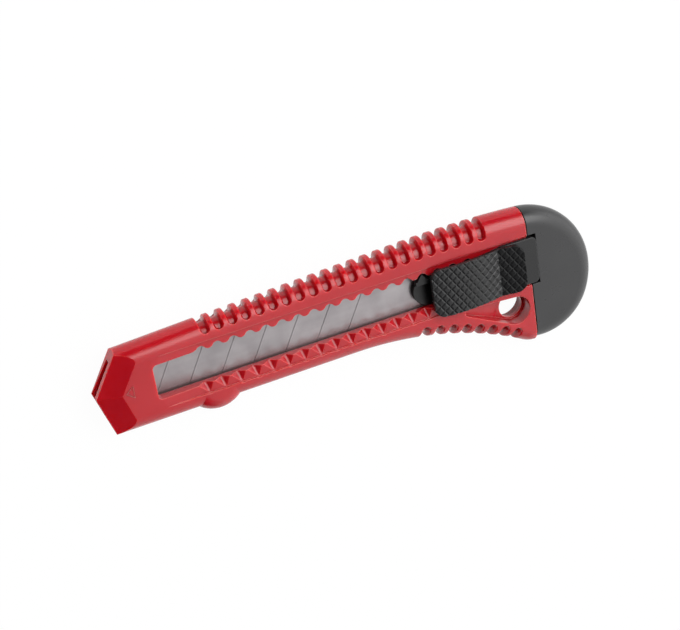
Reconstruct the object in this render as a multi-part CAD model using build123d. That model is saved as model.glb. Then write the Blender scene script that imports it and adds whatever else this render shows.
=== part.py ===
from build123d import *
from math import atan2, cos, degrees, hypot, radians, sin
import os

os.makedirs("parts", exist_ok=True)

# Snap-off utility knife. All sizes are millimetres.
# While modelling, x runs back from the tip, y runs toward the spine from the
# blade's centre line, and z runs up from the flat back.
# The finished parts are moved so that the origin is half-way along the back.

# Clearances
FLAT_CLEARANCE = 0.1
SIDE_CLEARANCE = 0.3
PLUG_CLEARANCE = 0.1
PIN_CLEARANCE = 0.05
SEAM_GAP = 0.3

# Handle envelope
HANDLE_LENGTH = 137.05
THICKNESS = 10.0
EDGE_FLAT = 0.1
SPINE_FRONT_Y = 11.94
SPINE_BEND_FROM_SEAM = 39.25
SPINE_BEND_Y = 16.4
SEAM_TOP_Y = 15.9
BELLY_FRONT_Y = -13.45
BELLY_BEND_FROM_SEAM = 58.05
BELLY_BEND_Y = -13.0
FLARE_FROM_SEAM = 3.75
FLARE_Y = -27.5
SEAM_BOTTOM_Y = -28.5

# Pointed front
TIP_Y = -0.3
TIP_UPPER_ANGLE = 57.5
TIP_LOWER_ANGLE = 73.9
TIP_UPPER_RUN = 6.1
TIP_LOWER_RUN = 6.8
TIP_BEVEL_DROP = 2.4

# Finger bump under the front
BUMP_RADIUS = 9.5
BUMP_X = 35.1
BUMP_LOW = 2.3
BUMP_STEP = 5.8

# Grooves along the spine
GROOVE_START_X = 33.0
GROOVE_LAST_FROM_SEAM = 14.65
GROOVE_PITCH = 4.195
GROOVE_WIDTH = 3.3
GROOVE_DEPTH = 1.65
GROOVE_DRAFT = 14.0
GROOVE_FLOOR_ROUND = 0.4
GROOVE_RIM_ROUND = 0.35
RIM_LIFT = 0.06
GROOVE_FRONT_TURN = 34.0
GROOVE_REAR_TURN = 9.0

# Notches along the flare
NOTCH_COUNT = 8
NOTCH_LAST_FROM_SEAM = 8.25
NOTCH_PITCH = 4.2
NOTCH_WIDTH = 3.6
NOTCH_DEPTH = 1.6
NOTCH_DRAFT = 24.0
NOTCH_FLOOR_ROUND = 0.8
NOTCH_RIM_ROUND = 0.6
NOTCH_TURN = 20.0

# Blade
BLADE_LENGTH = 100.0
BLADE_WIDTH = 18.0
BLADE_THICKNESS = 0.5
BLADE_Z = 5.3
SCORE_COUNT = 7
SCORE_PITCH = 10.0
SCORE_ANGLE = 60.0
SCORE_WIDTH = 0.36
SCORE_DEPTH = 0.14
GRIND_WIDTH = 1.6
EDGE_THICKNESS = 0.06
BLADE_HOLE_RADIUS = 2.0
BLADE_HOLE_FROM_REAR = 4.0

# Track, window and click rack
TRACK_WIDTH = 16.4
TRACK_DEPTH = 0.6
TRACK_START_X = 19.0
TRACK_RAMP = 12.0
WINDOW_X = 17.1
WINDOW_LOWER = 5.2
WINDOW_UPPER = 5.75
WINDOW_CORNER = 1.3
RACK_PITCH = 5.0
RACK_START_X = 31.0
RACK_SPARE_VALLEYS = 3
RACK_TIP = 5.5
RACK_VALLEY = 6.8

# Ratchet pockets beside the window: a long slope, a short steep one, and a
# rounded valley that rises away from the window
POCKET_LEAD = 2.6
POCKET_TAIL = 1.85
POCKET_VALLEY = -0.2
POCKET_DEPTH = 1.8
POCKET_REACH = 3.1
POCKET_SLANT = 0.6
POCKET_ROUND = 0.9
POCKET_OVERRUN = 0.15

# Mouth
MOUTH_CEILING_GAP = 0.2
MOUTH_RELIEF = 2.5
MOUTH_RELIEF_LENGTH = 12.0

# Slider
CARRIAGE_WIDTH = 9.4
CARRIAGE_THICKNESS = 1.5
CARRIAGE_LENGTH = 33.8
NOSE_LEAD = 2.7
WING_THICKNESS = 0.7
WING_SETBACK = 10.8
NECK_SETBACK = 5.8
PEG_LEAD = 0.5
ARM_THICKNESS = 1.2
ARM_HEIGHT = 1.6
ARM_ROOM = 1.8
ARM_Y = 3.6
ARM_LENGTH = 15.1
ARM_LEAD = 2.2
KNUCKLE_RADIUS = 1.0
TOOTH_WIDTH = 3.4
TOOTH_ROUND = 0.5
BOSS_RADIUS = 1.5
BOSS_HEIGHT = 0.9
BOSS_SPACING = 9.0
BOSS_SETBACK = 3.0
KNUCKLE_BACKING = 0.6

# Thumb grip
GRIP_LENGTH = 30.4
GRIP_SETBACK = 1.9
GRIP_WIDTH = 15.4
GRIP_Y = -0.3
GRIP_CORNER = 3.0
GRIP_FRONT_RISE = 1.0
CREST_SETBACK = 9.6
CREST_RISE = 2.9
DIP_SETBACK = 22.5
DIP_RISE = 1.5
HEEL_RISE = 3.0
HEEL_CORNER = 3.3
GRIP_EDGE = 1.3
GRIP_EDGE_INSET = 2.6
TAIL_RISE = 0.6
TAIL_LENGTH = 5.3
TAIL_REACH = 2.45
TAIL_WIDTH = 15.1
TAIL_CORNER = 1.8
TAIL_BOW = 0.4

# End cap
CAP_SHOULDER_X = 13.8
CAP_SHOULDER_Y = 10.0
CAP_HEEL_X = 20.1
CAP_HEEL_Y = -16.2
CAP_BOTTOM_Y = -27.6
CAP_NOTCH_DEPTH = 2.4
TONGUE_WIDTH = 15.0
TONGUE_THICKNESS = 2.2
TONGUE_LENGTH = 9.5
TONGUE_Z = 1.8
PEG_RADIUS = 1.6
PEG_LENGTH = 6.0
PEG_UPPER_Y = 12.3
PEG_LOWER_Y = -22.5

# Lanyard eye
EYE_FROM_SEAM = 6.05
EYE_Y = -15.05
EYE_RADIUS = 3.9
EYE_POCKET_RADIUS = 4.55
EYE_POCKET_DEPTH = 4.6
EYE_BACK_RADIUS = 5.2
EYE_BACK_DEPTH = 4.0
EYE_TAIL_DEPTH = 1.6
EYE_TAIL_FROM_SEAM = 22.05
EYE_TAIL_Y = -10.5
EYE_TAIL_RADIUS = 1.2

# Where the finished part's origin is along the back
ORIGIN_X = 79.0

# Values that follow from the sizes above
MARGIN = 6.0
OVERCUT = 1.0
wide = 5 * THICKNESS
mid_z = THICKNESS / 2
edge_round = THICKNESS / 2 - EDGE_FLAT
blade_top = BLADE_Z + BLADE_THICKNESS
channel_floor = BLADE_Z - FLAT_CLEARANCE
channel_half = BLADE_WIDTH / 2 + SIDE_CLEARANCE
wing_z = blade_top + FLAT_CLEARANCE
lip_z = wing_z + WING_THICKNESS + FLAT_CLEARANCE
mouth_ceiling = blade_top + MOUTH_CEILING_GAP
track_z = THICKNESS - TRACK_DEPTH
carriage_top = wing_z + CARRIAGE_THICKNESS
grip_z = track_z + FLAT_CLEARANCE
carriage_half = CARRIAGE_WIDTH / 2
handle_rear = HANDLE_LENGTH - SEAM_GAP / 2
cap_front = HANDLE_LENGTH + SEAM_GAP / 2
spine_bend_x = HANDLE_LENGTH - SPINE_BEND_FROM_SEAM
belly_bend_x = HANDLE_LENGTH - BELLY_BEND_FROM_SEAM
flare_x = HANDLE_LENGTH - FLARE_FROM_SEAM
eye_x = HANDLE_LENGTH - EYE_FROM_SEAM
eye_tail_x = HANDLE_LENGTH - EYE_TAIL_FROM_SEAM
spine_slope = (SPINE_BEND_Y - SPINE_FRONT_Y) / spine_bend_x
groove_last_x = HANDLE_LENGTH - GROOVE_LAST_FROM_SEAM
groove_count = int((groove_last_x - GROOVE_START_X) / GROOVE_PITCH) + 1
notch_first_x = HANDLE_LENGTH - NOTCH_LAST_FROM_SEAM - (NOTCH_COUNT - 1) * NOTCH_PITCH

# The slider at rest: its tail lies in the cap, and the blade hangs on its peg
tail_rear = HANDLE_LENGTH + TAIL_REACH
heel_x = tail_rear - TAIL_LENGTH
grip_front = heel_x - GRIP_LENGTH
rest_valley_x = grip_front - GRIP_SETBACK
nose_x = rest_valley_x - NOSE_LEAD
carriage_rear = nose_x + CARRIAGE_LENGTH
pivot_x = rest_valley_x + ARM_LENGTH
blade_hole_x = rest_valley_x - PEG_LEAD
blade_rear = blade_hole_x + BLADE_HOLE_FROM_REAR
blade_tip = blade_rear - BLADE_LENGTH
stop_count = int((rest_valley_x - RACK_START_X) / RACK_PITCH) + 1
rack_first_x = rest_valley_x - (stop_count - 1) * RACK_PITCH
rack_count = stop_count + RACK_SPARE_VALLEYS
origin_shift = Pos(-ORIGIN_X, 0, 0)


def box(x0, x1, y0, y1, z0, z1):
    """A block between two opposite corners."""
    middle = Pos((x0 + x1) / 2, (y0 + y1) / 2, (z0 + z1) / 2)
    return middle * Box(x1 - x0, y1 - y0, z1 - z0)


def prism(edges, z0, z1):
    """A closed plan outline carried up from z0 to z1."""
    face = make_face(edges)
    return Pos(0, 0, z0) * extrude(face, z1 - z0, dir=(0, 0, 1))


def prism_poly(points, z0, z1):
    """A straight-sided plan outline carried up from z0 to z1."""
    return prism([Polyline(*points, close=True)], z0, z1)


def wall_poly(points, y0, y1):
    """A side profile given as (x, z) points, carried from y0 to y1."""
    face = make_face([Polyline(*[(x, y0, z) for x, z in points], close=True)])
    return extrude(face, y1 - y0, dir=(0, 1, 0))


def round_edges(plate, z0, z1, radius, ends):
    """Round the plan edges of a plate, leaving the square ends alone."""
    rims = []
    for edge in plate.edges():
        middle = edge.center()
        flat = min(abs(middle.Z - z0), abs(middle.Z - z1)) < 1e-6
        square = any(abs(middle.X - x) < 1e-6 for x in ends)
        if flat and not square:
            rims.append(edge)
    return fillet(rims, radius)


def on_back(tool):
    """A cut made for the face, turned over to the back."""
    return Pos(0, 0, THICKNESS) * mirror(tool, about=Plane.XY)


def handle_edges():
    """Spine and belly of the handle."""
    bend = (spine_bend_x, SPINE_BEND_Y)
    belly_bend = (belly_bend_x, BELLY_BEND_Y)
    flare_end = (flare_x, FLARE_Y)
    spine = Line((-MARGIN, SPINE_FRONT_Y - MARGIN * spine_slope), bend)
    crown = TangentArc(bend, (HANDLE_LENGTH, SEAM_TOP_Y), tangent=spine % 1)
    belly = Line((-MARGIN, BELLY_FRONT_Y), belly_bend)
    flare = TangentArc(belly_bend, flare_end, tangent=belly % 1)
    corner = TangentArc(flare_end, (HANDLE_LENGTH, SEAM_BOTTOM_Y), tangent=flare % 1)
    return [spine, crown, belly, flare, corner]


def handle_plate():
    """The handle's rounded envelope."""
    spine, crown, belly, flare, corner = handle_edges()
    rear = Line(crown @ 1, corner @ 1)
    front = Line(spine @ 0, belly @ 0)
    plate = prism([spine, crown, rear, corner, flare, belly, front], 0, THICKNESS)
    return round_edges(plate, 0, THICKNESS, edge_round, (-MARGIN, HANDLE_LENGTH))


def tip_bevel(angle, run, side):
    """Wedge taken off the face along one edge of the pointed front."""
    inward = (sin(radians(angle)), -side * cos(radians(angle)), 0)
    crosswise = Vector(inward).cross(Vector(0, 0, 1))
    across = Plane(origin=(0, TIP_Y, 0), x_dir=inward, z_dir=crosswise)
    rise = TIP_BEVEL_DROP / run
    low = (-MARGIN, THICKNESS - TIP_BEVEL_DROP - MARGIN * rise)
    high = (run + MARGIN, THICKNESS + MARGIN * rise)
    outer = (-MARGIN, THICKNESS + MARGIN * rise)
    wedge = make_face([Polyline(low, high, outer, close=True)])
    return extrude(across * wedge, wide, both=True)


def groove_tool(depth, width, draft, floor_round, rim_round, turn):
    """Flat-bottomed groove with soft corners and rims that wraps the round edge.

    Local x runs along the edge, y points outward, and the origin is the middle
    of the round edge. The groove ends in a bowl at an angle of turn from each face.
    """
    floor = mid_z - depth
    brink = mid_z + RIM_LIFT
    top = mid_z + depth
    wall_turn = radians(90 - draft)
    run = sin(wall_turn)
    climb = 1 - cos(wall_turn)
    wall_height = brink - floor - (floor_round + rim_round) * climb
    wall_run = wall_height * cos(wall_turn) / sin(wall_turn)
    rim_x = width / 2
    wall_top = (rim_x - rim_round * run, brink - rim_round * climb)
    wall_foot = (wall_top[0] - wall_run, floor + floor_round * climb)
    floor_end = (wall_foot[0] - floor_round * run, floor)
    level = Line((0, floor), floor_end)
    corner = TangentArc(floor_end, wall_foot, tangent=(1, 0))
    wall = Line(wall_foot, wall_top)
    rim = TangentArc(wall_top, (rim_x, brink), tangent=wall % 1)
    outside = Polyline((rim_x, brink), (width, top), (0, top), (0, floor))
    side = make_face([level, corner, wall, rim, outside])
    section = side + mirror(side, about=Plane.YZ)
    tilt = Rot(90 - turn, 0, 0)
    band = revolve(tilt * section, Axis((0, 0, 0), (-1, 0, 0)), 180 - 2 * turn)
    bowl = tilt * revolve(side, Axis((0, 0, 0), (0, -1, 0)), 180)
    return band + bowl + mirror(bowl, about=Plane.XY)


def edge_place(curve, x, side):
    """Frame on the middle of a round edge, at x, with y pointing outward."""
    share = (x - (curve @ 0).X) / ((curve @ 1).X - (curve @ 0).X)
    spot = curve @ share
    way = curve % share
    turn = degrees(atan2(way.Y, way.X))
    middle = Pos(spot.X + side * mid_z * way.Y, spot.Y - side * mid_z * way.X, mid_z)
    return middle * Rot(0, 0, turn if side > 0 else turn + 180)


def window_edges():
    """Plan outline of the window, with the wavy click rack on its spine side."""
    rear = HANDLE_LENGTH + OVERCUT
    mean = (RACK_TIP + RACK_VALLEY) / 2
    quarter = RACK_PITCH / 4
    low_y = -WINDOW_LOWER
    high_y = WINDOW_UPPER
    c = WINDOW_CORNER
    low_corner = RadiusArc((WINDOW_X + c, low_y), (WINDOW_X, low_y + c), c)
    high_corner = RadiusArc((WINDOW_X, high_y - c), (WINDOW_X + c, high_y), c)
    edges = [Line((rear, low_y), (WINDOW_X + c, low_y)), low_corner]
    edges.append(Line((WINDOW_X, low_y + c), (WINDOW_X, high_y - c)))
    edges.append(high_corner)
    x = rack_first_x
    lead = (x - 2 * quarter, high_y)
    edges.append(Line((WINDOW_X + c, high_y), lead))
    edges.append(Line(lead, (x - quarter, mean)))
    for k in range(rack_count):
        x = rack_first_x + k * RACK_PITCH
        edges.append(ThreePointArc((x - quarter, mean), (x, RACK_VALLEY), (x + quarter, mean)))
        if k < rack_count - 1:
            tip = (x + 2 * quarter, RACK_TIP)
            edges.append(ThreePointArc((x + quarter, mean), tip, (x + 3 * quarter, mean)))
    last = (x + 2 * quarter, high_y)
    edges.append(Line((x + quarter, mean), last))
    edges.append(Line(last, (rear, high_y)))
    edges.append(Line((rear, high_y), (rear, low_y)))
    return edges


def pocket_tool():
    """Scoop that is open to the window, from an origin on the window's edge."""
    valley = Vector(POCKET_VALLEY, 0, -POCKET_DEPTH)
    lead = Vector(-POCKET_LEAD, 0, 0)
    tail = Vector(POCKET_TAIL, 0, 0)
    rise = Vector(POCKET_SLANT, -POCKET_REACH, POCKET_DEPTH)
    way = rise.normalized()
    start = way * -OVERCUT
    low = valley + start
    high_tail = low + (tail - valley) * 2
    high_lead = low + (lead - valley) * 2
    section = make_face([Polyline(low, high_tail, high_lead, close=True)])
    bottom = section.vertices().sort_by(Axis.Z)[0]
    return extrude(fillet(bottom, POCKET_ROUND), OVERCUT + rise.length + POCKET_OVERRUN, dir=way)


def eye_pocket(radius, depth):
    """Teardrop pocket whose floor runs down to the web round the lanyard eye."""
    run = hypot(eye_x - eye_tail_x, EYE_Y - EYE_TAIL_Y)
    turn = degrees(atan2(EYE_Y - EYE_TAIL_Y, eye_x - eye_tail_x))
    ends = Circle(EYE_TAIL_RADIUS) + Pos(run, 0) * Circle(radius)
    drop = make_hull(ends.edges())
    plan = extrude(drop, THICKNESS + OVERCUT, dir=(0, 0, 1))
    floor = THICKNESS - depth
    level = run - radius
    ramp = [(-EYE_TAIL_RADIUS, THICKNESS - EYE_TAIL_DEPTH), (level, floor), (run + MARGIN, floor)]
    ramp += [(run + MARGIN, THICKNESS + OVERCUT), (-EYE_TAIL_RADIUS, THICKNESS + OVERCUT)]
    tool = plan & wall_poly(ramp, -MARGIN, MARGIN)
    return Pos(eye_tail_x, EYE_TAIL_Y, 0) * Rot(0, 0, turn) * tool


def make_handle():
    body = handle_plate()
    rims = Cylinder(BUMP_RADIUS, THICKNESS)
    bump = Pos(BUMP_X, BELLY_FRONT_Y - BUMP_LOW + BUMP_RADIUS, mid_z) * fillet(rims.edges(), edge_round)
    bump_low = BELLY_FRONT_Y - 2 * BUMP_LOW
    bump_rear = BUMP_X + BUMP_RADIUS
    bump_top = BELLY_FRONT_Y + edge_round
    body += bump & box(BUMP_X - BUMP_STEP, bump_rear, bump_low, bump_top, 0, THICKNESS)

    spine, crown, belly, flare, corner = handle_edges()
    groove_form = (GROOVE_DEPTH, GROOVE_WIDTH, GROOVE_DRAFT, GROOVE_FLOOR_ROUND, GROOVE_RIM_ROUND)
    notch_form = (NOTCH_DEPTH, NOTCH_WIDTH, NOTCH_DRAFT, NOTCH_FLOOR_ROUND, NOTCH_RIM_ROUND)
    for k in range(groove_count):
        x = groove_last_x - k * GROOVE_PITCH
        share = k / (groove_count - 1)
        turn = GROOVE_REAR_TURN + share * (GROOVE_FRONT_TURN - GROOVE_REAR_TURN)
        place = edge_place(spine if x < spine_bend_x else crown, x, 1)
        body -= place * groove_tool(*groove_form, turn)
    notch = groove_tool(*notch_form, NOTCH_TURN)
    for k in range(NOTCH_COUNT):
        x = notch_first_x + k * NOTCH_PITCH
        body -= edge_place(flare if x < flare_x else corner, x, -1) * notch

    reach = wide
    upper = (reach * cos(radians(TIP_UPPER_ANGLE)), TIP_Y + reach * sin(radians(TIP_UPPER_ANGLE)))
    lower = (reach * cos(radians(TIP_LOWER_ANGLE)), TIP_Y - reach * sin(radians(TIP_LOWER_ANGLE)))
    far = -2 * MARGIN
    ahead = [(0, TIP_Y), upper, (far, upper[1]), (far, lower[1]), lower]
    body -= prism_poly(ahead, -OVERCUT, THICKNESS + OVERCUT)
    upper_bevel = tip_bevel(TIP_UPPER_ANGLE, TIP_UPPER_RUN, 1)
    lower_bevel = tip_bevel(TIP_LOWER_ANGLE, TIP_LOWER_RUN, -1)
    for tool in (upper_bevel, lower_bevel):
        body -= tool
        body -= on_back(tool)

    ramp_end = TRACK_START_X + TRACK_RAMP
    track = [(TRACK_START_X, THICKNESS), (ramp_end, track_z), (HANDLE_LENGTH + OVERCUT, track_z)]
    track += [(HANDLE_LENGTH + OVERCUT, THICKNESS + OVERCUT), (TRACK_START_X, THICKNESS + OVERCUT)]
    body -= wall_poly(track, -TRACK_WIDTH / 2, TRACK_WIDTH / 2)
    body -= prism(window_edges(), lip_z - FLAT_CLEARANCE, THICKNESS + OVERCUT)
    pocket = pocket_tool()
    for k in range(rack_count):
        body -= Pos(rack_first_x + k * RACK_PITCH, -WINDOW_LOWER, track_z) * pocket

    rear = HANDLE_LENGTH + OVERCUT
    body -= box(-MARGIN, rear, -channel_half, channel_half, channel_floor, mouth_ceiling)
    body -= box(WINDOW_X, rear, -channel_half, channel_half, channel_floor, lip_z)
    relief = [(-MARGIN, channel_floor - MOUTH_RELIEF), (0, channel_floor - MOUTH_RELIEF)]
    relief += [(MOUTH_RELIEF_LENGTH, channel_floor), (MOUTH_RELIEF_LENGTH, mouth_ceiling)]
    relief += [(-MARGIN, mouth_ceiling)]
    body -= wall_poly(relief, -channel_half, channel_half)

    body -= eye_pocket(EYE_POCKET_RADIUS, EYE_POCKET_DEPTH)
    body -= on_back(eye_pocket(EYE_BACK_RADIUS, EYE_BACK_DEPTH))
    body -= Pos(eye_x, EYE_Y, mid_z) * Cylinder(EYE_RADIUS, THICKNESS + 2 * OVERCUT)

    body -= plug(PLUG_CLEARANCE)
    return body - box(handle_rear, rear + MARGIN, -wide, wide, -OVERCUT, THICKNESS + OVERCUT)


def plug(grow):
    """Tongue and two pegs of the cap. With grow they are the handle's sockets."""
    half = TONGUE_WIDTH / 2 + grow
    end = HANDLE_LENGTH + 2 * SEAM_GAP
    tongue_front = HANDLE_LENGTH - TONGUE_LENGTH - grow
    shape = box(tongue_front, end, -half, half, TONGUE_Z - grow, TONGUE_Z + TONGUE_THICKNESS + grow)
    length = PEG_LENGTH + 2 * SEAM_GAP + grow
    for y in (PEG_UPPER_Y, PEG_LOWER_Y):
        peg = Cylinder(PEG_RADIUS + grow, length)
        shape += Pos(end - length / 2, y, mid_z) * Rot(0, 90, 0) * peg
    return shape


def make_cap():
    crown = handle_edges()[1]
    shoulder = (HANDLE_LENGTH + CAP_SHOULDER_X, CAP_SHOULDER_Y)
    heel = (HANDLE_LENGTH + CAP_HEEL_X, CAP_HEEL_Y)
    low = (HANDLE_LENGTH, CAP_BOTTOM_Y)
    arc1 = TangentArc(crown @ 1, shoulder, tangent=crown % 1)
    arc2 = TangentArc(shoulder, heel, tangent=arc1 % 1)
    arc3 = TangentArc(heel, low, tangent=arc2 % 1)
    plate = prism([arc1, arc2, arc3, Line(low, crown @ 1)], 0, THICKNESS)
    cap = round_edges(plate, 0, THICKNESS, edge_round, (HANDLE_LENGTH,))
    cap -= box(0, cap_front, -wide, wide, -OVERCUT, THICKNESS + OVERCUT)
    notch_rear = tail_rear + SIDE_CLEARANCE
    notch_half = TRACK_WIDTH / 2
    floor = THICKNESS - CAP_NOTCH_DEPTH
    cap -= box(HANDLE_LENGTH - OVERCUT, notch_rear, -notch_half, notch_half, floor, THICKNESS + OVERCUT)
    return cap + plug(0)


def make_blade():
    half = BLADE_WIDTH / 2
    lean = BLADE_WIDTH / (sin(radians(SCORE_ANGLE)) / cos(radians(SCORE_ANGLE)))
    plan = [(blade_tip, -half), (blade_tip + lean, half), (blade_rear, half), (blade_rear, -half)]
    blade = prism_poly(plan, BLADE_Z, blade_top)
    score_length = 2 * BLADE_WIDTH
    for k in range(SCORE_COUNT):
        x = blade_tip + (k + 1) * SCORE_PITCH + lean / 2
        bar = Box(score_length, SCORE_WIDTH, 2 * SCORE_DEPTH)
        blade -= Pos(x, 0, blade_top) * Rot(0, 0, SCORE_ANGLE) * bar
    land = (BLADE_THICKNESS - EDGE_THICKNESS) / 2
    y = -half + GRIND_WIDTH
    x = blade_tip - OVERCUT
    mid = BLADE_Z + BLADE_THICKNESS / 2
    for up in (1, -1):
        face = mid + up * BLADE_THICKNESS / 2
        corner = (x, -half, face - up * land)
        wedge = Polyline(corner, (x, y, face), (x, -half, face), close=True)
        blade -= extrude(make_face([wedge]), BLADE_LENGTH + 2 * OVERCUT, dir=(1, 0, 0))
    return blade - Pos(blade_hole_x, 0, mid) * Cylinder(BLADE_HOLE_RADIUS, 4 * BLADE_THICKNESS)


def make_carriage():
    nose_centre = nose_x + carriage_half
    nose = Pos(nose_centre, 0) * Circle(carriage_half)
    strip_x = (nose_centre + carriage_rear) / 2
    strip = Pos(strip_x, 0) * Rectangle(carriage_rear - nose_centre, CARRIAGE_WIDTH)
    part = Pos(0, 0, wing_z) * extrude(nose + strip, CARRIAGE_THICKNESS, dir=(0, 0, 1))
    wing_half = channel_half - SIDE_CLEARANCE
    wing_front = nose_x + WING_SETBACK
    part += box(wing_front, carriage_rear, -wing_half, wing_half, wing_z, wing_z + WING_THICKNESS)

    block_front = pivot_x - KNUCKLE_BACKING
    inner = ARM_Y - ARM_THICKNESS / 2 - ARM_ROOM
    part += box(nose_x + NECK_SETBACK, carriage_rear, -carriage_half, inner, wing_z, grip_z)
    part += box(block_front, carriage_rear, -carriage_half, carriage_half, wing_z, grip_z)
    socket_top = grip_z + OVERCUT
    socket = Cylinder(KNUCKLE_RADIUS + PIN_CLEARANCE, socket_top - carriage_top)
    part -= Pos(pivot_x, ARM_Y, (socket_top + carriage_top) / 2) * socket

    for x in boss_places():
        part += Pos(x, 0, grip_z + BOSS_HEIGHT / 2) * Cylinder(BOSS_RADIUS, BOSS_HEIGHT)
    peg_height = wing_z - BLADE_Z
    peg = Cylinder(BLADE_HOLE_RADIUS - PIN_CLEARANCE, peg_height)
    return part + Pos(blade_hole_x, 0, BLADE_Z + peg_height / 2) * peg


def boss_places():
    """Where the carriage's two bosses enter the thumb grip."""
    middle = pivot_x + BOSS_SETBACK + BOSS_RADIUS
    return (middle, middle + BOSS_SPACING)


def make_arm():
    z0 = carriage_top + 2 * FLAT_CLEARANCE
    z1 = z0 + ARM_HEIGHT
    low = ARM_Y - ARM_THICKNESS / 2
    high = ARM_Y + ARM_THICKNESS / 2
    arm = box(rest_valley_x - ARM_LEAD, pivot_x, low, high, z0, z1)
    arm += Pos(pivot_x, ARM_Y, (z0 + z1) / 2) * Cylinder(KNUCKLE_RADIUS, ARM_HEIGHT)
    peak = RACK_VALLEY - SIDE_CLEARANCE
    half = TOOTH_WIDTH / 2
    front = rest_valley_x - half
    rear = rest_valley_x + half
    tooth = [(front, ARM_Y), (front, high), (rest_valley_x, peak), (rear, high), (rear, ARM_Y)]
    wedge = prism_poly(tooth, z0, z1)
    point = wedge.edges().filter_by(Axis.Z).sort_by(Axis.Y)[-1]
    return arm + fillet(point, TOOTH_ROUND)


def grip_side(lowered):
    """Side profile of the thumb grip, with its top moved down by lowered."""
    z = THICKNESS - lowered
    front = (grip_front, 0, z + GRIP_FRONT_RISE)
    crest = (grip_front + CREST_SETBACK, 0, z + CREST_RISE)
    dip = (grip_front + DIP_SETBACK, 0, z + DIP_RISE)
    heel = (heel_x, 0, z + HEEL_RISE)
    floor = grip_z - lowered
    rise = TangentArc(crest, front, tangent=(-1, 0, 0))
    fall = TangentArc(crest, dip, tangent=(1, 0, 0))
    base = Polyline(heel, (heel_x, 0, floor), (grip_front, 0, floor), front)
    return make_face([rise, fall, Line(dip, heel), base])


def rounded_plan(x0, x1, half, front_corner, rear_corner, bow):
    """Plan outline with rounded corners and a slightly bowed rear end."""
    f = front_corner
    r = rear_corner
    low_front = RadiusArc((x0 + f, -half), (x0, f - half), f)
    high_front = RadiusArc((x0, half - f), (x0 + f, half), f)
    high_rear = RadiusArc((x1 - bow - r, half), (x1 - bow, half - r), r)
    low_rear = RadiusArc((x1 - bow, r - half), (x1 - bow - r, -half), r)
    edges = [low_front, high_front, high_rear, low_rear]
    edges.append(Line(low_front @ 1, high_front @ 0))
    edges.append(Line(high_front @ 1, high_rear @ 0))
    edges.append(ThreePointArc(high_rear @ 1, (x1, 0), low_rear @ 0))
    edges.append(Line(low_rear @ 1, low_front @ 0))
    return edges


def make_grip():
    half = GRIP_WIDTH / 2
    grip = extrude(grip_side(0), half, both=True)
    plan = rounded_plan(grip_front, heel_x, half, GRIP_CORNER, HEEL_CORNER, TAIL_BOW)
    grip &= prism(plan, 0, 2 * THICKNESS)
    hollow = extrude(grip_side(GRIP_EDGE), half + OVERCUT, both=True)
    core_half = half - GRIP_EDGE_INSET
    hollow -= box(grip_front - OVERCUT, heel_x + OVERCUT, -core_half, core_half, 0, 2 * THICKNESS)
    grip = Pos(0, GRIP_Y, 0) * (grip - hollow)
    tail_front = grip_front + DIP_SETBACK
    tail = rounded_plan(tail_front, tail_rear, TAIL_WIDTH / 2, TAIL_CORNER, TAIL_CORNER, TAIL_BOW)
    grip += prism(tail, grip_z, THICKNESS + TAIL_RISE)
    for x in boss_places():
        socket = Cylinder(BOSS_RADIUS + PIN_CLEARANCE, BOSS_HEIGHT + FLAT_CLEARANCE)
        grip -= Pos(x, 0, grip_z + (BOSS_HEIGHT + FLAT_CLEARANCE) / 2) * socket
    return grip


parts = {
    "handle_body": make_handle(),
    "end_cap": make_cap(),
    "snap_off_blade": make_blade(),
    "slider_carriage": make_carriage(),
    "detent_arm": make_arm(),
    "thumb_grip": make_grip(),
}
for name, part in parts.items():
    moved = origin_shift * part
    solids = moved.solids()
    box_size = moved.bounding_box()
    print(name, len(solids), round(moved.volume), box_size.min, box_size.max)
    solid = solids.sort_by(SortBy.VOLUME)[-1]
    solid.label = name
    export_step(solid, "parts/" + name + ".step")
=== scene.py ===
from math import radians, sqrt

import bpy
from mathutils import Matrix, Vector


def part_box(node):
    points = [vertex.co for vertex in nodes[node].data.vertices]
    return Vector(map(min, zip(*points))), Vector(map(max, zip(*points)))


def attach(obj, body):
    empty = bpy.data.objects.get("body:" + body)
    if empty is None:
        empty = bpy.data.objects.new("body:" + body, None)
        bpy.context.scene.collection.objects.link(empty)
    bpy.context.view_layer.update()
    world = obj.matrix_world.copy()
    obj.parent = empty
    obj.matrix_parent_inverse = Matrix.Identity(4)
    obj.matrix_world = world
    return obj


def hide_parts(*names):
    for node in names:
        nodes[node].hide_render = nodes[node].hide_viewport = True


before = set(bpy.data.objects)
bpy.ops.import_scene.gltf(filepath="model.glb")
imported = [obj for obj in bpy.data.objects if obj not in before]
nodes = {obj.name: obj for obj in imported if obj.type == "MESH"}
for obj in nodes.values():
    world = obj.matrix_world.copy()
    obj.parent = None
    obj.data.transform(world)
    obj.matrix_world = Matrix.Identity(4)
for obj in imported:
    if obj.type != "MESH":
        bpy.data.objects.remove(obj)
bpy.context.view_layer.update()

# Snap-off utility knife, dressed around its CAD frame. Lengths are metres.
# X runs back from the cutting tip, Y to the grooved spine, Z out of the face with the slider.

MM = 0.001

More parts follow.
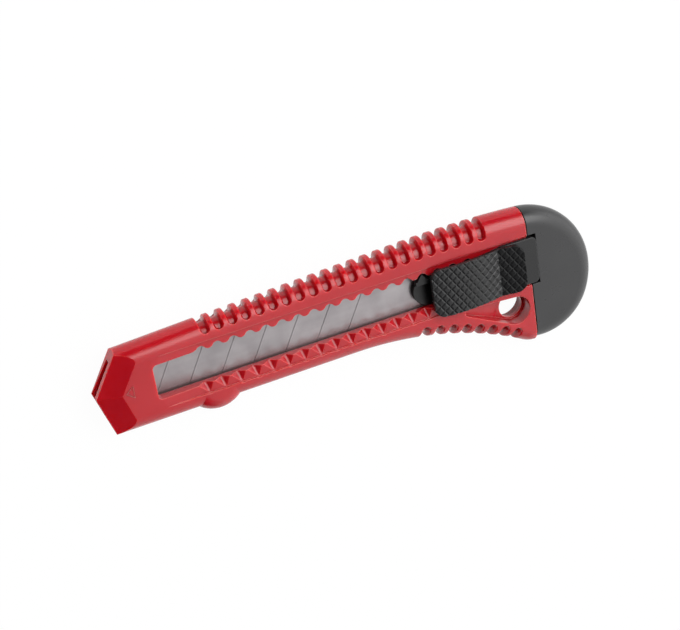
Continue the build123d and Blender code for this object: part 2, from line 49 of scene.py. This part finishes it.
# Thumb grip: the sizes of its solid, apart from a higher front, a deeper dip and a little more tail
GRIP_LOW, GRIP_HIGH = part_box("thumb_grip")
HANDLE_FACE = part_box("handle_body")[1].z
GRIP_WIDTH = 15.4 * MM
GRIP_MIDDLE_Y = -0.3 * MM
GRIP_LENGTH = 30.4 * MM
GRIP_FRONT_X = GRIP_LOW.x
GRIP_HEEL_X = GRIP_FRONT_X + GRIP_LENGTH
GRIP_FRONT_CORNER = 3.0 * MM
GRIP_HEEL_CORNER = 3.3 * MM
GRIP_PLATE = 1.3 * MM
GRIP_OVERHANG = 2.6 * MM
CREST_SETBACK = 9.6 * MM
CREST_X = GRIP_FRONT_X + CREST_SETBACK
DIP_SETBACK = 22.5 * MM
DIP_X = GRIP_FRONT_X + DIP_SETBACK
FRONT_RISE = 1.75 * MM
CREST_RISE = 2.9 * MM
DIP_RISE = 1.2 * MM
HEEL_RISE = 3.0 * MM
TAIL_RISE = 0.6 * MM
TAIL_TOP = HANDLE_FACE + TAIL_RISE
TAIL_WIDTH = 15.1 * MM
TAIL_CORNER = 1.8 * MM
TAIL_EDGE = 0.35 * MM
TAIL_EDGE_SEGMENTS = 3
TAIL_STRETCH = 0.15 * MM

# Knurl on the grip: square pyramids with flat tops, turned on the surface
KNURL_PITCH = 1.95 * MM
KNURL_TURN = radians(33)
KNURL_HEIGHT = 0.24 * MM
KNURL_SLOPE_RUN = 0.40 * MM
KNURL_SOFTNESS = 0.06 * MM
KNURL_SEGMENTS = 2
KNURL_CELLS = 20
FLAT_PLATE = GRIP_PLATE - KNURL_HEIGHT

# Cage that bends the flat grip along its side profile
CAGE_STEP = 0.75 * MM
CAGE_STEPS = 41
CAGE_HEIGHT = 10 * MM

# Plain arrow behind the tip's bevel, pointing the way the blade comes out
ARROW_PLACE = Vector((-69.2, -0.1, 10.0)) * MM
ARROW_WIDTH = 3.9 * MM
ARROW_LENGTH = 2.3 * MM
ARROW_RISE = 0.12 * MM
ARROW_LINE = 0.3 * MM
ARROW_ROOT = 0.4 * MM
ARROW_TURN = radians(90)

# Modelling: segments of a rounded corner, and the distance that counts as none
CORNER_SEGMENTS = 8
SAME_PLACE = 1e-6

# Camera, from the direction and place that the photograph was taken
CAMERA_PLACE = Vector((-158.5, 235.9, 450.6)) * MM
CAMERA_RIGHT = Vector((0.9071, -0.1463, 0.3946))
CAMERA_AHEAD = Vector((0.2952, -0.4471, -0.8444))
CAMERA_LENS = 95.3
CAMERA_SENSOR = 36.0
CAMERA_NEAREST = 0.01
CAMERA_FARTHEST = 20.0

# Red plastic: its plain and drifted colours, the paler colour of the painted highlight on its edges,
# and the light that it lets in
RED_PLAIN = (0.42, 0.004, 0.011)
RED_DRIFT = (0.46, 0.007, 0.014)
# Painted highlight: the paler red that the red plastic's edges are blended to
RED_EDGE_HIGHLIGHT = (0.66, 0.11, 0.10)
RED_ROUGHNESS = (0.16, 0.24)
RED_GRAIN = 0.01 * MM
RED_EDGE = 0.3 * MM
RED_GLOW = 0.8
RED_GLOW_COLOURS = (1.0, 0.1, 0.08)
RED_GLOW_DEPTH = 3.0 * MM

# Dark plastics: each piece's grey, roughness and sheen
CAP_GREY = 0.021
CAP_ROUGHNESS = (0.26, 0.34)
CARRIAGE_GREY = 0.006
CARRIAGE_ROUGHNESS = (0.34, 0.42)
CARRIAGE_SHEEN = 0.40
GRIP_GREY = 0.010
GRIP_ROUGHNESS = (0.22, 0.30)
GRIP_SHEEN = 0.37
# Painted shade: the heel's weaker gloss, which renders it darker
SHADED_HEEL_SHEEN = 0.15
# Painted sheen: the paler grey that the grip is blended to at its front
SHEEN_GREY = (0.023, 0.023, 0.024)

# Shares of that grey where a dark plastic is plain, drifted, and paler on its edges, where a highlight
# is painted
DARK_PLAIN = (1.0, 1.0, 1.05)
DARK_DRIFT = (1.2, 1.2, 1.25)
# Painted highlight: the share for the paler grey that dark plastics' edges are blended to
DARK_EDGE_HIGHLIGHT = (2.2, 2.2, 2.2)
DARK_GRAIN = 0.02 * MM
DARK_EDGE = 0.2 * MM

# What all moulded plastics share: noises by scale and detail, and edges.
# The painted edge highlight grows as the cosine of an edge's lean falls.
DRIFT_NOISE = (90.0, 3.0)
UNEVEN_NOISE = (260.0, 4.0)
GRAIN_NOISE = (2600.0, 2.0)
GRAIN_STRENGTH = 0.35
HIGHLIGHT_LEAN = (0.995, 0.90)
EDGE_SAMPLES = 6
PLASTIC_IOR = 1.5

# Blade steel: its plain and clouded colours, and the rolling marks along its length
STEEL_PLAIN = (0.29, 0.27, 0.278)
STEEL_CLOUD = (0.365, 0.343, 0.351)
STEEL_ROUGHNESS = (0.30, 0.44)
STEEL_METALLIC = 0.85
CLOUD_NOISE = (150.0, 5.0)
MARK_NOISE = (900.0, 3.0)
MARK_STRETCH = (0.05, 1.0, 1.0)
MARK_DEPTH = 0.004 * MM
MARK_STRENGTH = 0.3

# Values between which most of a noise lies
NOISE_RANGE = (0.3, 0.7)

# Lamps: place, width and height in metres, and power in watts
KEY_SOFTBOX = ((0.27, 0.37, 0.54), 0.64, 0.52, 2.6)
FILLS = {
    "left_fill": ((-0.48, 0.74, 0.40), 0.9, 0.6, 1.5),
    "low_fill": ((-0.78, 0.18, 0.17), 0.5, 0.3, 1.3),
    "right_fill": ((0.36, -0.12, 0.24), 0.3, 0.3, 0.3),
}

# Studio wall on the cap's side: it fades in along X, climbs along Y and ends past the spine
WALL_SIDE = (-0.06, 0.24)
WALL_CLIMB = (-0.40, 0.45)
WALL_END = (0.62, 0.85)
LOW_WALL_GLOW = 1.3
HIGH_WALL_GLOW = 2.1
ROOM_GLOW = 0.05

# Floor
FLOOR_SIZE = 8.0
FLOOR_DROP = 0.02 * MM
FLOOR_WHITE = (0.9, 0.9, 0.9)
FLOOR_ROUGHNESS = 0.9
FLOOR_GLOW_SHARE = 0.97


# Modelling by hand

def clear_selection():
    """Leave nothing selected, because an operator acts on all that is."""
    bpy.ops.object.select_all(action="DESELECT")


def only(piece):
    """Make one piece the only selected and active one."""
    clear_selection()
    piece.select_set(True)
    bpy.context.view_layer.objects.active = piece


def new_piece(name):
    """The primitive that was added last, under its own name."""
    piece = bpy.context.object
    piece.name = name
    return piece


def settle(piece):
    """Put a piece's place, turn and size into its mesh."""
    only(piece)
    bpy.ops.object.transform_apply(location=True, rotation=True, scale=True)


def open_edit(piece, kind="FACE"):
    """Open a piece in edit mode with nothing selected."""
    only(piece)
    bpy.ops.object.mode_set(mode="EDIT")
    bpy.ops.mesh.select_mode(type=kind)
    bpy.ops.mesh.select_all(action="DESELECT")


def leave_edit():
    """Go back to object mode."""
    bpy.ops.object.mode_set(mode="OBJECT")


def pick_faces(piece, test):
    """Open a piece in edit mode with the faces selected whose middle passes a test."""
    open_edit(piece, "FACE")
    leave_edit()
    for face in piece.data.polygons:
        face.select = test(face.center)
    bpy.ops.object.mode_set(mode="EDIT")


def pick_edges(piece, test):
    """Open a piece in edit mode with the edges selected whose two ends pass a test."""
    open_edit(piece, "EDGE")
    leave_edit()
    points = piece.data.vertices
    for edge in piece.data.edges:
        first, second = edge.vertices
        edge.select = test(points[first].co, points[second].co)
    bpy.ops.object.mode_set(mode="EDIT")


def apply_modifier(piece, kind, **settings):
    """Add a modifier with its settings and apply it."""
    only(piece)
    modifier = piece.modifiers.new(kind.lower(), kind)
    for name, value in settings.items():
        setattr(modifier, name, value)
    bpy.ops.object.modifier_apply(modifier=modifier.name)


def combine(piece, other, operation):
    """Join or intersect a piece with another, which is used up."""
    apply_modifier(piece, "BOOLEAN", object=other, operation=operation, solver="EXACT")
    bpy.data.objects.remove(other)


def block(name, low, high):
    """A block between two opposite corners."""
    low = Vector(low)
    high = Vector(high)
    clear_selection()
    bpy.ops.mesh.primitive_cube_add(size=1, location=(low + high) / 2)
    piece = new_piece(name)
    piece.scale = high - low
    settle(piece)
    return piece


def round_corners(piece, radius, test):
    """Round the upright edges of a block whose place passes a test."""
    def upright(a, b):
        rises = abs(a.z - b.z) > SAME_PLACE
        stays = abs(a.x - b.x) + abs(a.y - b.y) < SAME_PLACE
        return rises and stays and test(a)
    pick_edges(piece, upright)
    bpy.ops.mesh.bevel(offset=radius, segments=CORNER_SEGMENTS, affect="EDGES")
    leave_edit()


def slab(name, middle, length, width, thickness, columns, rows):
    """A flat plate whose top, at height zero, is divided into columns and rows."""
    clear_selection()
    bpy.ops.mesh.primitive_grid_add(x_subdivisions=columns, y_subdivisions=rows, size=1)
    piece = new_piece(name)
    piece.scale = (length, width, 1)
    settle(piece)
    open_edit(piece)
    bpy.ops.mesh.select_all(action="SELECT")
    bpy.ops.mesh.extrude_region_move(TRANSFORM_OT_translate={"value": (0, 0, -thickness)})
    bpy.ops.mesh.select_all(action="SELECT")
    bpy.ops.mesh.normals_make_consistent(inside=False)
    leave_edit()
    piece.location = (middle[0], middle[1], 0)
    return piece


# Thumb grip

def sagged(x, top_x, top, end_x, end):
    """Height on an arc that is level at its top and passes through its end."""
    reach = end_x - top_x
    drop = top - end
    radius = (reach * reach + drop * drop) / (2 * drop)
    return top - radius + sqrt(radius * radius - (x - top_x) ** 2)


def grip_rise(x):
    """How far the top of the grip stands over the handle's face."""
    if x < CREST_X:
        return sagged(x, CREST_X, CREST_RISE, GRIP_FRONT_X, FRONT_RISE)
    if x < DIP_X:
        return sagged(x, CREST_X, CREST_RISE, DIP_X, DIP_RISE)
    share = (x - DIP_X) / (GRIP_HEEL_X - DIP_X)
    return DIP_RISE + share * (HEEL_RISE - DIP_RISE)


def knurled_plate(middle):
    """The grip's plate while it is still flat, with pyramids on its top and a cut at the dip."""
    side = KNURL_CELLS * KNURL_PITCH
    plate = slab("thumb_grip_knurled", middle, side, side, FLAT_PLATE, KNURL_CELLS, KNURL_CELLS)
    plate.rotation_euler.z = KNURL_TURN
    settle(plate)
    pick_faces(plate, lambda place: place.z > -KNURL_SOFTNESS)
    bpy.ops.mesh.inset(thickness=KNURL_SLOPE_RUN, use_individual=True)
    bpy.ops.transform.translate(value=(0, 0, KNURL_HEIGHT))
    bpy.ops.mesh.bevel(offset=KNURL_SOFTNESS, segments=KNURL_SEGMENTS, affect="EDGES")
    bpy.ops.mesh.select_all(action="SELECT")
    bpy.ops.mesh.bisect(plane_co=(DIP_X, 0, 0), plane_no=(1, 0, 0))
    leave_edit()
    return plate


def grip_outline(low_z, high_z):
    """Block with the grip's rounded plan outline."""
    half = GRIP_WIDTH / 2
    low = (GRIP_FRONT_X, GRIP_MIDDLE_Y - half, low_z)
    high = (GRIP_HEEL_X, GRIP_MIDDLE_Y + half, high_z)
    outline = block("grip_outline", low, high)
    middle_x = (GRIP_FRONT_X + GRIP_HEEL_X) / 2
    round_corners(outline, GRIP_FRONT_CORNER, lambda place: place.x < middle_x)
    round_corners(outline, GRIP_HEEL_CORNER, lambda place: place.x > middle_x)
    return outline


def bend_to_profile(piece):
    """Raise a flat piece along the grip's side profile with a cage."""
    data = bpy.data.lattices.new("grip_cage")
    data.points_u = CAGE_STEPS + 1
    data.points_v = 2
    data.points_w = 2
    data.interpolation_type_u = "KEY_LINEAR"
    data.interpolation_type_v = "KEY_LINEAR"
    data.interpolation_type_w = "KEY_LINEAR"
    cage = bpy.data.objects.new("grip_cage", data)
    bpy.context.scene.collection.objects.link(cage)
    length = CAGE_STEPS * CAGE_STEP
    cage.location = (GRIP_FRONT_X + length / 2, GRIP_MIDDLE_Y, 0)
    cage.scale = (CAGE_STEP, 2 * GRIP_WIDTH, CAGE_HEIGHT)
    for index, point in enumerate(data.points):
        x = GRIP_FRONT_X + (index % data.points_u) * CAGE_STEP
        rise = HANDLE_FACE + grip_rise(x) - KNURL_HEIGHT
        point.co_deform.z += rise / CAGE_HEIGHT
    bpy.context.view_layer.update()
    apply_modifier(piece, "LATTICE", object=cage)
    bpy.data.objects.remove(cage)


def grip_core(middle):
    """Stem under the plate, down to the slider's carriage."""
    length = GRIP_LENGTH - GRIP_OVERHANG
    width = GRIP_WIDTH - 2 * GRIP_OVERHANG
    core = slab("grip_core", middle, length, width, CAGE_HEIGHT / 2, CAGE_STEPS, 1)
    core.location.z = -FLAT_PLATE / 2
    settle(core)
    bend_to_profile(core)
    open_edit(core)
    bpy.ops.mesh.select_all(action="SELECT")
    foot = (0, 0, GRIP_LOW.z)
    bpy.ops.mesh.bisect(plane_co=foot, plane_no=(0, 0, 1), clear_inner=True, use_fill=True)
    leave_edit()
    return core


def grip_tail():
    """Smooth flat tail behind the heel, with a softened top edge."""
    half = TAIL_WIDTH / 2
    low = (DIP_X, -half, GRIP_LOW.z)
    high = (GRIP_HIGH.x + TAIL_STRETCH, half, TAIL_TOP)
    tail = block("grip_tail", low, high)
    round_corners(tail, TAIL_CORNER, lambda place: True)
    pick_faces(tail, lambda place: place.z > TAIL_TOP - TAIL_EDGE / 2)
    bpy.ops.mesh.bevel(offset=TAIL_EDGE, segments=TAIL_EDGE_SEGMENTS, affect="EDGES")
    leave_edit()
    return tail


def shade_heel(grip, material):
    """Give the heel, behind the dip and above the tail, a duller copy of the grip's plastic, as
    painted shade that renders it darker.
    """
    foot = TAIL_TOP + KNURL_SOFTNESS
    grip.data.materials.append(material)
    pick_faces(grip, lambda place: place.x > DIP_X and place.z > foot)
    grip.active_material_index = len(grip.data.materials) - 1
    bpy.ops.object.material_slot_assign()
    leave_edit()


def make_grip(material, shaded_heel_material):
    """Knurled thumb grip, in the place of its plain solid."""
    middle = ((GRIP_FRONT_X + GRIP_HEEL_X) / 2, GRIP_MIDDLE_Y)
    grip = knurled_plate(middle)
    combine(grip, grip_outline(-CAGE_HEIGHT, CAGE_HEIGHT), "INTERSECT")
    bend_to_profile(grip)
    combine(grip, grip_core(middle), "UNION")
    combine(grip, grip_tail(), "UNION")
    dress(grip, material)
    # Painted shade: the heel gets the duller copy of the grip's plastic
    shade_heel(grip, shaded_heel_material)
    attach(grip, "slider")
    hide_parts("thumb_grip")


# Arrow

def make_arrow(material):
    """Raised outline of a triangle on the handle's face."""
    depth = ARROW_RISE + ARROW_ROOT
    clear_selection()
    bpy.ops.mesh.primitive_cylinder_add(vertices=3, radius=1, depth=depth, rotation=(0, 0, ARROW_TURN))
    arrow = new_piece("arrow_mark")
    settle(arrow)
    # A triangle in a circle of radius 1 is 1.5 long and the root of 3 wide
    arrow.scale = (ARROW_LENGTH / 1.5, ARROW_WIDTH / sqrt(3), 1)
    arrow.location = ARROW_PLACE + Vector((0, 0, (ARROW_RISE - ARROW_ROOT) / 2))
    settle(arrow)
    pick_faces(arrow, lambda place: place.z > ARROW_PLACE.z + ARROW_RISE / 2)
    bpy.ops.mesh.inset(thickness=ARROW_LINE)
    bpy.ops.transform.translate(value=(0, 0, -ARROW_RISE - ARROW_ROOT / 2))
    leave_edit()
    dress(arrow, material)
    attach(arrow, "handle")


# Camera

def make_camera():
    """Camera at the photograph's viewing angle."""
    data = bpy.data.cameras.new("camera")
    data.sensor_width = CAMERA_SENSOR
    data.lens = CAMERA_LENS
    data.clip_start = CAMERA_NEAREST
    data.clip_end = CAMERA_FARTHEST
    camera = bpy.data.objects.new("camera", data)
    bpy.context.scene.collection.objects.link(camera)
    back = -CAMERA_AHEAD.normalized()
    right = (CAMERA_RIGHT - CAMERA_RIGHT.dot(back) * back).normalized()
    up = back.cross(right)
    turn = Matrix((right, up, back)).transposed().to_4x4()
    camera.matrix_world = Matrix.Translation(CAMERA_PLACE) @ turn
    bpy.context.scene.camera = camera


# Nodes that the materials share

def new_material(name):
    """A material with its node tree and its shader."""
    material = bpy.data.materials.new(name)
    material.use_nodes = True
    return material, material.node_tree, shader_of(material)


def shader_of(material):
    """The shader that a material starts with."""
    return material.node_tree.nodes["Principled BSDF"]


def object_space(tree):
    """Coordinates that stay with the piece."""
    return tree.nodes.new("ShaderNodeTexCoord").outputs["Object"]


def noise(tree, coordinates, scale, detail, stretch=(1, 1, 1)):
    """Noise in object space, with its grain stretched along the axes."""
    mapping = tree.nodes.new("ShaderNodeMapping")
    mapping.inputs["Scale"].default_value = stretch
    tree.links.new(coordinates, mapping.inputs["Vector"])
    texture = tree.nodes.new("ShaderNodeTexNoise")
    texture.inputs["Scale"].default_value = scale
    texture.inputs["Detail"].default_value = detail
    tree.links.new(mapping.outputs["Vector"], texture.inputs["Vector"])
    return texture.outputs["Fac"]


def ramp(tree, value, low, high, start, end):
    """A number that runs from low to high as a value goes from start to end."""
    node = tree.nodes.new("ShaderNodeMapRange")
    node.data_type = "FLOAT"
    node.inputs["From Min"].default_value = start
    node.inputs["From Max"].default_value = end
    node.inputs["To Min"].default_value = low
    node.inputs["To Max"].default_value = high
    tree.links.new(value, node.inputs["Value"])
    return node.outputs["Result"]


def blend(tree, share, first, second):
    """From the first colour to the second, each a fixed colour or another node's output."""
    node = tree.nodes.new("ShaderNodeMix")
    node.data_type = "RGBA"
    tree.links.new(share, node.inputs["Factor"])
    for socket, colour in (("A", first), ("B", second)):
        if isinstance(colour, tuple):
            node.inputs[socket].default_value = (*colour, 1)
        else:
            tree.links.new(colour, node.inputs[socket])
    return node.outputs["Result"]


def calculate(tree, operation, first, second):
    """Sum, product or larger of two values, the second of which may be a fixed number."""
    node = tree.nodes.new("ShaderNodeMath")
    node.operation = operation
    tree.links.new(first, node.inputs[0])
    if isinstance(second, float):
        node.inputs[1].default_value = second
    else:
        tree.links.new(second, node.inputs[1])
    return node.outputs["Value"]


def bump(tree, height, distance, strength):
    """Bump node, whose output is the roughened normal."""
    node = tree.nodes.new("ShaderNodeBump")
    node.inputs["Distance"].default_value = distance
    node.inputs["Strength"].default_value = strength
    tree.links.new(height, node.inputs["Height"])
    return node


def soft_edges(tree, radius):
    """Normals that are rounded over sharp edges."""
    node = tree.nodes.new("ShaderNodeBevel")
    node.samples = EDGE_SAMPLES
    node.inputs["Radius"].default_value = radius
    return node.outputs["Normal"]


def painted_edge_highlight(tree, rounded):
    """How much painted highlight an edge gets, from how far its rounded normal leans."""
    geometry = tree.nodes.new("ShaderNodeNewGeometry")
    lean = tree.nodes.new("ShaderNodeVectorMath")
    lean.operation = "DOT_PRODUCT"
    tree.links.new(rounded, lean.inputs[0])
    tree.links.new(geometry.outputs["Normal"], lean.inputs[1])
    return ramp(tree, lean.outputs["Value"], 0.0, 1.0, *HIGHLIGHT_LEAN)


# Materials

def moulded_plastic(name, plain, drifted, edge_highlight_colour, roughness, grain, edge):
    """Moulded plastic: faint colour drift, uneven gloss, fine grain, and soft edges made paler by a
    painted highlight.
    """
    material, tree, shader = new_material(name)
    place = object_space(tree)
    rounded = soft_edges(tree, edge)
    drift = ramp(tree, noise(tree, place, *DRIFT_NOISE), 0.0, 1.0, *NOISE_RANGE)
    body = blend(tree, drift, plain, drifted)
    # Painted highlight: edges are blended towards a paler colour, as if they caught the light
    colour = blend(tree, painted_edge_highlight(tree, rounded), body, edge_highlight_colour)
    tree.links.new(colour, shader.inputs["Base Color"])
    uneven = ramp(tree, noise(tree, place, *UNEVEN_NOISE), *roughness, *NOISE_RANGE)
    tree.links.new(uneven, shader.inputs["Roughness"])
    fine = bump(tree, noise(tree, place, *GRAIN_NOISE), grain, GRAIN_STRENGTH)
    tree.links.new(rounded, fine.inputs["Normal"])
    tree.links.new(fine.outputs["Normal"], shader.inputs["Normal"])
    shader.inputs["IOR"].default_value = PLASTIC_IOR
    return material


def red_plastic():
    """Red plastic that lets a little light in, so that thin walls and hollows glow."""
    colours = (RED_PLAIN, RED_DRIFT, RED_EDGE_HIGHLIGHT)
    material = moulded_plastic("red_plastic", *colours, RED_ROUGHNESS, RED_GRAIN, RED_EDGE)
    shader = shader_of(material)
    shader.inputs["Subsurface Weight"].default_value = RED_GLOW
    shader.inputs["Subsurface Radius"].default_value = RED_GLOW_COLOURS
    shader.inputs["Subsurface Scale"].default_value = RED_GLOW_DEPTH
    return material


def dark_plastic(name, grey, roughness):
    """Dark grey plastic with a fine spark-eroded grain."""
    colours = []
    for shares in (DARK_PLAIN, DARK_DRIFT, DARK_EDGE_HIGHLIGHT):
        colours.append(tuple(share * grey for share in shares))
    return moulded_plastic(name, *colours, roughness, DARK_GRAIN, DARK_EDGE)


def cap_plastic():
    """The end cap's plain dark grey."""
    return dark_plastic("cap_plastic", CAP_GREY, CAP_ROUGHNESS)


def carriage_plastic():
    """Near-black plastic of the carriage and its spring arm."""
    material = dark_plastic("carriage_plastic", CARRIAGE_GREY, CARRIAGE_ROUGHNESS)
    shader_of(material).inputs["Specular IOR Level"].default_value = CARRIAGE_SHEEN
    return material


def grip_plastic():
    """Dark plastic with a painted sheen that makes it paler in front."""
    material = dark_plastic("grip_plastic", GRIP_GREY, GRIP_ROUGHNESS)
    tree = material.node_tree
    shader = shader_of(material)
    split = tree.nodes.new("ShaderNodeSeparateXYZ")
    tree.links.new(object_space(tree), split.inputs["Vector"])
    # Painted sheen: the front of the grip, up to the crest, is blended paler
    front = ramp(tree, split.outputs["X"], 1.0, 0.0, GRIP_FRONT_X, CREST_X)
    unsheened = shader.inputs["Base Color"].links[0].from_socket
    colour = blend(tree, front, unsheened, SHEEN_GREY)
    tree.links.new(colour, shader.inputs["Base Color"])
    shader.inputs["Specular IOR Level"].default_value = GRIP_SHEEN
    return material


def shaded_heel_plastic():
    """A copy of the grip's plastic with weaker gloss, as painted shade that renders the heel darker.
    """
    material = dark_plastic("shaded_heel_plastic", GRIP_GREY, GRIP_ROUGHNESS)
    shader_of(material).inputs["Specular IOR Level"].default_value = SHADED_HEEL_SHEEN
    return material


def blade_steel():
    """Rolled steel with a cloudy oil film and fine marks along its length."""
    material, tree, shader = new_material("blade_steel")
    place = object_space(tree)
    cloud = ramp(tree, noise(tree, place, *CLOUD_NOISE), 0.0, 1.0, *NOISE_RANGE)
    tree.links.new(blend(tree, cloud, STEEL_PLAIN, STEEL_CLOUD), shader.inputs["Base Color"])
    marks = noise(tree, place, *MARK_NOISE, MARK_STRETCH)
    roughness = ramp(tree, marks, *STEEL_ROUGHNESS, *NOISE_RANGE)
    tree.links.new(roughness, shader.inputs["Roughness"])
    rolled = bump(tree, marks, MARK_DEPTH, MARK_STRENGTH)
    tree.links.new(rolled.outputs["Normal"], shader.inputs["Normal"])
    shader.inputs["Metallic"].default_value = STEEL_METALLIC
    return material


def dress(piece, material):
    """Give a piece one material all over."""
    piece.data.materials.clear()
    piece.data.materials.append(material)


# Light and floor

def lamp(name, place, width, height, power):
    """A soft rectangular lamp aimed at the origin."""
    data = bpy.data.lights.new(name, "AREA")
    data.shape = "RECTANGLE"
    data.size = width
    data.size_y = height
    data.energy = power
    piece = bpy.data.objects.new(name, data)
    bpy.context.scene.collection.objects.link(piece)
    piece.location = place
    piece.rotation_euler = Vector(place).to_track_quat("Z", "Y").to_euler()
    return piece


def make_lamps():
    """One softbox that shows in the gloss, and fills that don't."""
    lamp("key_softbox", *KEY_SOFTBOX)
    for name, settings in FILLS.items():
        lamp(name, *settings).visible_glossy = False


def make_studio():
    """A white wall on the cap's side, brighter towards the spine, in a dim room."""
    world = bpy.data.worlds.new("studio")
    bpy.context.scene.world = world
    world.use_nodes = True
    tree = world.node_tree
    way = tree.nodes.new("ShaderNodeTexCoord").outputs["Generated"]
    split = tree.nodes.new("ShaderNodeSeparateXYZ")
    tree.links.new(way, split.inputs["Vector"])
    side = ramp(tree, split.outputs["X"], 0.0, 1.0, *WALL_SIDE)
    climb = ramp(tree, split.outputs["Y"], LOW_WALL_GLOW, HIGH_WALL_GLOW, *WALL_CLIMB)
    end = ramp(tree, split.outputs["Y"], 1.0, 0.0, *WALL_END)
    wall = calculate(tree, "MULTIPLY", calculate(tree, "MULTIPLY", side, climb), end)
    glow = calculate(tree, "ADD", wall, ROOM_GLOW)
    background = tree.nodes["Background"]
    background.inputs["Color"].default_value = (1, 1, 1, 1)
    tree.links.new(glow, background.inputs["Strength"])


def floor_white():
    """White that the camera sees evenly, while the floor lights the object as a plain floor does."""
    material, tree, shader = new_material("floor_white")
    shader.inputs["Base Color"].default_value = (*FLOOR_WHITE, 1)
    shader.inputs["Roughness"].default_value = FLOOR_ROUGHNESS
    path = tree.nodes.new("ShaderNodeLightPath")
    seen = path.outputs["Is Camera Ray"]
    for kind in ("Is Glossy Ray", "Is Transmission Ray"):
        seen = calculate(tree, "MAXIMUM", seen, path.outputs[kind])
    share = calculate(tree, "MULTIPLY", seen, FLOOR_GLOW_SHARE)
    glow = tree.nodes.new("ShaderNodeEmission")
    mix = tree.nodes.new("ShaderNodeMixShader")
    tree.links.new(share, mix.inputs["Fac"])
    tree.links.new(shader.outputs["BSDF"], mix.inputs[1])
    tree.links.new(glow.outputs["Emission"], mix.inputs[2])
    tree.links.new(mix.outputs["Shader"], tree.nodes["Material Output"].inputs["Surface"])
    return material


def make_floor():
    """Plain floor just under the knife."""
    clear_selection()
    bpy.ops.mesh.primitive_plane_add(size=FLOOR_SIZE, location=(0, 0, -FLOOR_DROP))
    floor = new_piece("floor")
    floor.data.materials.append(floor_white())


# The knife

make_camera()
make_lamps()
make_studio()
make_floor()
red = red_plastic()
black = carriage_plastic()
dress(nodes["handle_body"], red)
make_arrow(red)
dress(nodes["end_cap"], cap_plastic())
make_grip(grip_plastic(), shaded_heel_plastic())
dress(nodes["slider_carriage"], black)
dress(nodes["detent_arm"], black)
dress(nodes["snap_off_blade"], blade_steel())

bpy.context.scene.view_settings.view_transform = "Standard"
